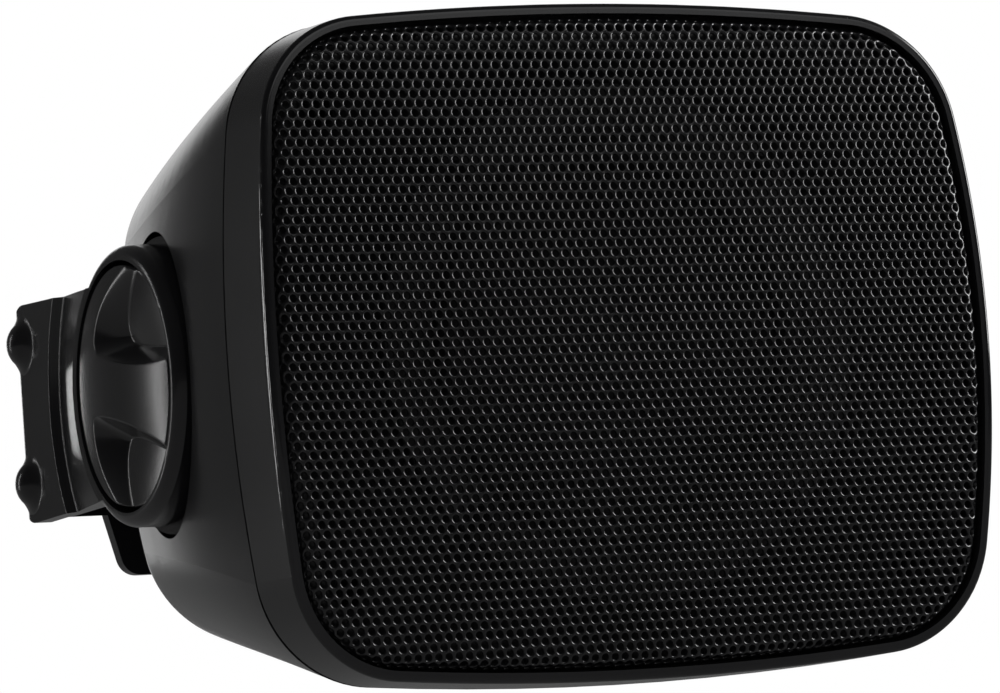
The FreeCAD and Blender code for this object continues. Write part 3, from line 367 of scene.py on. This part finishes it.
def grille_piece(name, u, v):
    """One band of the grille.

    Every cell is rings from its hexagon border to the hole's rounded edge and down the hole's wall.
    """
    sides = np.arange(HOLE_SIDES)
    turns = np.radians(360 / HOLE_SIDES * sides)
    border = np.where(sides % 2 == 1, HOLE_PITCH / math.sqrt(3), HOLE_PITCH / 2)
    widen = np.array([1.0, 0.3, 0.0, 0.0])
    edges = np.repeat(HOLE_RADIUS + HOLE_ROUND * widen[:, None], HOLE_SIDES, 1)
    radii = np.concatenate([border[None], edges])
    depths = np.array([0.0, 0.0, 0.3 * HOLE_ROUND, HOLE_ROUND, GRILLE_SHEET])
    ring_u = u[:, None, None] + radii * np.cos(turns)
    ring_v = v[:, None, None] + radii * np.sin(turns)
    points = grille_place(ring_u, ring_v, np.broadcast_to(depths[:, None], ring_u.shape)).reshape(-1, 3)
    after = (sides + 1) % HOLE_SIDES
    ring = HOLE_SIDES * np.arange(len(depths) - 1)[:, None]
    within = ring + HOLE_SIDES
    quads = np.stack([ring + sides, ring + after, within + after, within + sides], -1).reshape(-1, 4)
    faces = (quads[None] + radii.size * np.arange(len(u))[:, None, None]).reshape(-1, 4)
    keys = np.round(points / CELL_JOIN).astype(np.int64)
    _, first, index = np.unique(keys, axis=0, return_index=True, return_inverse=True)
    return mesh_object(name, points[first], index.reshape(-1)[faces])


hole_u, hole_v = grille_lattice()
bands = np.digitize(hole_v, BAND_EDGES)
for band in range(len(BAND_EDGES) + 1):
    chosen = bands == band
    piece = grille_piece("perforated_grille_%d" % (band + 1), hole_u[chosen], hole_v[chosen])
    piece.data.materials.append(powder_coat)
    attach(piece, "cabinet")
    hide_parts("grille")


# Bezel edge

def edge_piece(name):
    """Slim bevel round the bezel's front edge.

    Rays from the middle of the face find the outline at each inset: the length grows by what is missing in
    the distance inside the outline until it settles. The section rises a little from the bezel's side, runs
    forward on a bevel and rolls over to the front.
    """
    tilt = math.radians(BEVEL_TILT)
    roll = np.radians(np.linspace(BEVEL_TILT, 90.0, 9))
    along = np.array([BEVEL_LENGTH, BEVEL_LENGTH - BEVEL_FLAT, BEVEL_MIDDLE, BEVEL_FLAT])
    bevel_inset = ROLL_INSET - BEVEL_ROUND * math.cos(tilt) - along * math.tan(tilt)
    bevel_depth = ROLL_DEPTH - BEVEL_ROUND * math.sin(tilt) + along
    inset = np.concatenate([ROOT_INSET, bevel_inset, ROLL_INSET - BEVEL_ROUND * np.cos(roll), [FOOT_INSET]])
    depth = np.concatenate([ROOT_DEPTH, bevel_depth, ROLL_DEPTH - BEVEL_ROUND * np.sin(roll), [FOOT_DEPTH]])
    around = np.radians(np.linspace(0.0, 360.0, 721))[:, None]
    length = np.full((around.size, inset.size), FACE_HALF_W)
    for _ in range(40):
        x = length * np.cos(around)
        z = length * np.sin(around)
        length = length + outline_distance(x, z, FACE_HALF_W, FACE_HALF_H, FACE_CORNER)[0] - inset
    x = length * np.cos(around)
    z = length * np.sin(around)
    return grid_object(name, x, FRONT_Y + FACE_BOW - np.sqrt(FACE_BOW ** 2 - z ** 2) + depth, z)


bevel = edge_piece("bezel_edge")
bevel.data.materials.append(edge_plastic)
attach(bevel, "cabinet")


# Clamping knobs and yoke

def soft_max(a, b, blend):
    """Larger of two heights with a rounded change-over of the given width."""
    share = np.clip(0.5 + (a - b) / (2 * blend), 0.0, 1.0)
    return a * share + b * (1 - share) + blend * share * (1 - share)


def soft_min(a, b, blend):
    """Smaller of two heights with a rounded change-over of the given width."""
    return -soft_max(-a, -b, blend)


def grip_waist(along):
    """Half width of the grip bar: narrow at the middle, flared along an arc."""
    return GRIP_HALF_WIDTH + GRIP_FLARE - np.sqrt(GRIP_FLARE ** 2 - along ** 2)


def knob_height(along, across):
    """Height of the knob's face over places along and across the grip bar, from the knob's axis.

    The face is a shallow ball cap. A scoop on each side of the bar has two halves. The rear one falls from
    the scoop's swept rear end towards the front, the front one rises from the bar to the rim, and they meet
    in a crease. The bar's waisted wall is steeper and limits both.
    """
    cap = (KNOB_RADIUS ** 2 + KNOB_DOME ** 2) / (2 * KNOB_DOME)
    dome = KNOB_SHOULDER + KNOB_DOME - cap + np.sqrt(cap ** 2 - along ** 2 - across ** 2)
    beside = np.abs(across + GRIP_DROP)
    from_bar = beside - grip_waist(along)
    outer = np.maximum(beside - SCOOP_SHOULDER, 0.0)
    from_rear = (SCOOP_REAR - SCOOP_SWEEP * outer ** 2 - along) / np.hypot(1.0, 2 * SCOOP_SWEEP * outer)
    rear = REAR_SLOPE * soft_min(from_rear, SCOOP_SIDE * from_bar, SCOOP_CORNER)
    front = FLOOR_DEPTH - FLOOR_RISE * from_bar
    wall = GRIP_WALL_SLOPE * from_bar
    scoop = soft_min(soft_min(rear, front, SCOOP_CREASE), wall, GRIP_WALL_FOOT)
    return dome - soft_max(scoop, 0.0, GRIP_EDGE)


def knob_piece(name, side):
    """Knob face on a grid: columns along the grip bar, rows across it that crowd at the bar's walls.

    Columns follow the sine of an even turn, so that the outermost rows run evenly round the rim. Past the
    rim the rows go over its rounding and down the wall.
    """
    turn = np.radians(np.linspace(-90.0, 90.0, 301))[:, None]
    inner = KNOB_RADIUS - KNOB_EDGE
    along = inner * np.sin(turn)
    reach = inner * np.cos(turn)
    crowd = np.linspace(0.0, 1.0, 76) ** 1.5
    walls = [np.clip(-GRIP_DROP + half * grip_waist(along), -0.97 * reach, 0.97 * reach) for half in (-1, 1)]
    below = walls[0] + (-reach - walls[0]) * crowd[:0:-1]
    above = walls[1] + (reach - walls[1]) * crowd[1:]
    bar = walls[0] + (walls[1] - walls[0]) * np.linspace(0.0, 1.0, 31)
    across = np.concatenate([below, bar, above], 1)
    height = knob_height(np.broadcast_to(along, across.shape), across)
    lean = np.radians(np.linspace(15.0, 90.0, 6))
    grow = np.concatenate([np.sin(lean) * KNOB_EDGE, [KNOB_EDGE]])
    drop = np.concatenate([(1 - np.cos(lean)) * KNOB_EDGE, [KNOB_WALL]])
    rim_along = (inner + grow) * np.sin(turn)
    rim_across = (inner + grow) * np.cos(turn)
    along = np.concatenate([rim_along[:, ::-1], np.broadcast_to(along, across.shape), rim_along], 1)
    height = np.concatenate([height[:, :1] - drop[::-1], height, height[:, -1:] - drop], 1)
    across = np.concatenate([-rim_across[:, ::-1], across, rim_across], 1)
    tip = math.radians(GRIP_TURN)
    y = PIVOT_Y + along * math.cos(tip) - across * math.sin(tip)
    z = along * math.sin(tip) + across * math.cos(tip)
    return grid_object(name, side * height, y, z, flip=side < 0)


def boss_piece(name, side, end):
    """Soft boss over the rear bend of an arm.

    The arm's outer face and the bend are unrolled into one strip. Rings about the boss's middle on that
    strip are lifted along its normal by a hump that runs out level.
    """
    radius = np.linspace(0.0, BOSS_REACH, 33)[:, None]
    round_about = np.radians(np.linspace(0.0, 360.0, 73))[None, :]
    strip = BOSS_BEHIND + radius * np.cos(round_about)
    turn = np.clip(strip / ARM_BEND, 0.0, math.pi / 2)
    lift = BOSS_HEIGHT * (1 - (radius / BOSS_REACH) ** 2) ** 2 - BOSS_SINK
    x = ARM_FACE - ARM_BEND + (ARM_BEND + lift) * np.cos(turn)
    y = -ARM_BEND + np.minimum(strip, 0.0) + (ARM_BEND + lift) * np.sin(turn)
    z = radius * np.sin(round_about) + end * BOSS_SPACING / 2
    return grid_object(name, side * x, y, z, flip=side < 0)


def flank_piece(name, side):
    """Soft hollow between ring and arm, turned about the tilt axis.

    Over the distance from the axis the height is the larger of a gentle slope that starts below the ring's
    crest and a steeper step that ends at the arm, with soft change-overs. Rows run across the arm up to its
    edges and turn down there.
    """
    radius = np.linspace(FLANK_INNER, FLANK_OUTER, 88)[:, None]
    slope = RING_CREST - FLANK_DROP - FLANK_SLOPE * (radius - FLANK_START)
    level = ARM_FACE + FLANK_LAP
    rise = soft_min(level + (radius - STEP_TOP) * STEP_SLOPE, level, STEP_EDGE)
    height = soft_max(slope, rise, FLANK_FOOT)
    taper = (ARM_HALF_HEIGHT - NECK_HALF_HEIGHT) / ARM_LENGTH
    half = NECK_HALF_HEIGHT + taper * np.sqrt(radius ** 2 - NECK_HALF_HEIGHT ** 2)
    across = np.concatenate([[-1.0], np.linspace(-1.0, 1.0, 97), [1.0]])[None, :]
    z = half * across
    y = PIVOT_Y + np.sqrt(radius ** 2 - z ** 2)
    turned = np.zeros(across.shape)
    turned[:, [0, -1]] = FLANK_SKIRT
    return grid_object(name, side * (height - turned), y, z, flip=side < 0)


for boss_side, side_name in ((-1, "left"), (1, "right")):
    piece = flank_piece("flank_" + side_name, boss_side)
    piece.data.materials.append(yoke_plastic)
    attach(piece, "yoke")
    for boss_end, end_name in ((-1, "lower"), (1, "upper")):
        piece = boss_piece("boss_%s_%s" % (side_name, end_name), boss_side, boss_end)
        piece.data.materials.append(yoke_plastic)
        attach(piece, "yoke")

for node_name, knob_side in (("knob_left", -1), ("knob_right", 1)):
    piece = knob_piece(node_name + "_face", knob_side)
    piece.data.materials.append(knob_plastic)
    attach(piece, node_name)
    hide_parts(node_name)


# Stage: white surround and soft boxes

def studio_strength(tree):
    """Light of the surround: white where the camera or glass looks through, even on dull surfaces.

    A mirror ray finds a white backdrop that fades into a dim room, which is darker still away from it.
    """
    path = add(tree, "LightPath")
    way = add(tree, "TexCoord").outputs["Generated"]
    toward = add(tree, "VectorMath", {"operation": "DOT_PRODUCT"}, _0=way, _1=BACKDROP).outputs["Value"]
    dim = add(tree, "MapRange", Value=toward, From_Min=ROOM_TURN[0], From_Max=ROOM_TURN[1],
              To_Min=ROOM_MIRRORED[0], To_Max=ROOM_MIRRORED[1]).outputs[0]
    fade = add(tree, "MapRange", {"interpolation_type": "SMOOTHSTEP"}, Value=toward,
               From_Min=BACKDROP_EDGE[0], From_Max=BACKDROP_EDGE[1], To_Min=dim, To_Max=1.0).outputs[0]
    mirrored = path.outputs["Is Glossy Ray"]
    room = add(tree, "MapRange", Value=mirrored, To_Min=ROOM_LIGHT, To_Max=fade).outputs[0]
    seen = add(tree, "Math", {"operation": "MAXIMUM"}, _0=path.outputs["Is Camera Ray"],
               _1=path.outputs["Is Transmission Ray"]).outputs[0]
    return add(tree, "MapRange", Value=seen, To_Min=room, To_Max=1.0).outputs[0]


def floor_paint():
    """Pale matt paint, darker for mirror rays, so that the dark gloss of the object stays dark below."""
    material, tree, shader, _ = new_material("pale_floor_paint")
    mirrored = add(tree, "LightPath").outputs["Is Glossy Ray"]
    tone = add(tree, "Mix", {"data_type": "RGBA"}, _0=mirrored, _6=srgb("#f0f0f0"), _7=srgb("#787878"))
    tree.links.new(tone.outputs[2], shader.inputs["Base Color"])
    shader.inputs["Roughness"].default_value = 0.9
    return material


world = bpy.data.worlds.new("studio")
world.use_nodes = True
world.node_tree.nodes.clear()
sky = add(world.node_tree, "Background", Color=(1, 1, 1, 1), Strength=studio_strength(world.node_tree))
add(world.node_tree, "OutputWorld", Surface=sky.outputs[0])
scene.world = world

corners = [(x * FLOOR_HALF, y * FLOOR_HALF, FLOOR_LEVEL) for x, y in ((-1, -1), (1, -1), (1, 1), (-1, 1))]
floor_mesh = bpy.data.meshes.new("studio_floor")
floor_mesh.from_pydata(corners, [], [(0, 1, 2, 3)])
floor_mesh.materials.append(floor_paint())
floor = bpy.data.objects.new("studio_floor", floor_mesh)
scene.collection.objects.link(floor)


def soft_box(name, centre, toward, width, height, power):
    """Rectangular lamp that faces a point; places and sizes in metres, power in watts."""
    lamp = bpy.data.lights.new(name, "AREA")
    lamp.shape = "RECTANGLE"
    lamp.size = width
    lamp.size_y = height
    lamp.energy = power
    obj = bpy.data.objects.new(name, lamp)
    obj.location = centre
    obj.rotation_euler = (Vector(toward) - Vector(centre)).to_track_quat("-Z", "Y").to_euler()
    scene.collection.objects.link(obj)


soft_box("rim_left", (-1.132, 1.177, 0.25), (-0.1, -0.1, 0), 0.08, 1.0, 1.4)
soft_box("rim_back", (-0.122, 1.55, 0.13), (-0.1, -0.05, 0), 0.06, 0.15, 0.12)
soft_box("side_right", (0.64, -0.455, 0.25), (0.05, -0.18, 0.02), 0.28, 0.46, 5.5)
soft_box("front_fill", (0.9, -2.2, 1.4), (0, -0.1, 0), 1.0, 1.0, 3)

# Camera

camera_data = bpy.data.cameras.new("photo_camera")
camera_data.sensor_fit = "HORIZONTAL"
camera_data.sensor_width = 36.0
camera_data.lens = 193.306
camera_data.clip_start = 0.05
camera = bpy.data.objects.new("photo_camera", camera_data)
eye = Vector((-666.24, -1479.98, -121.32)) * MM
aim = Vector((3.281, -99.15, 7.234)) * MM
roll = Quaternion((0, 0, 1), math.radians(-4.0866))
camera.location = eye
camera.rotation_euler = ((aim - eye).to_track_quat("-Z", "Y") @ roll).to_euler()
scene.collection.objects.link(camera)
scene.camera = camera
scene.view_settings.view_transform = "Standard"
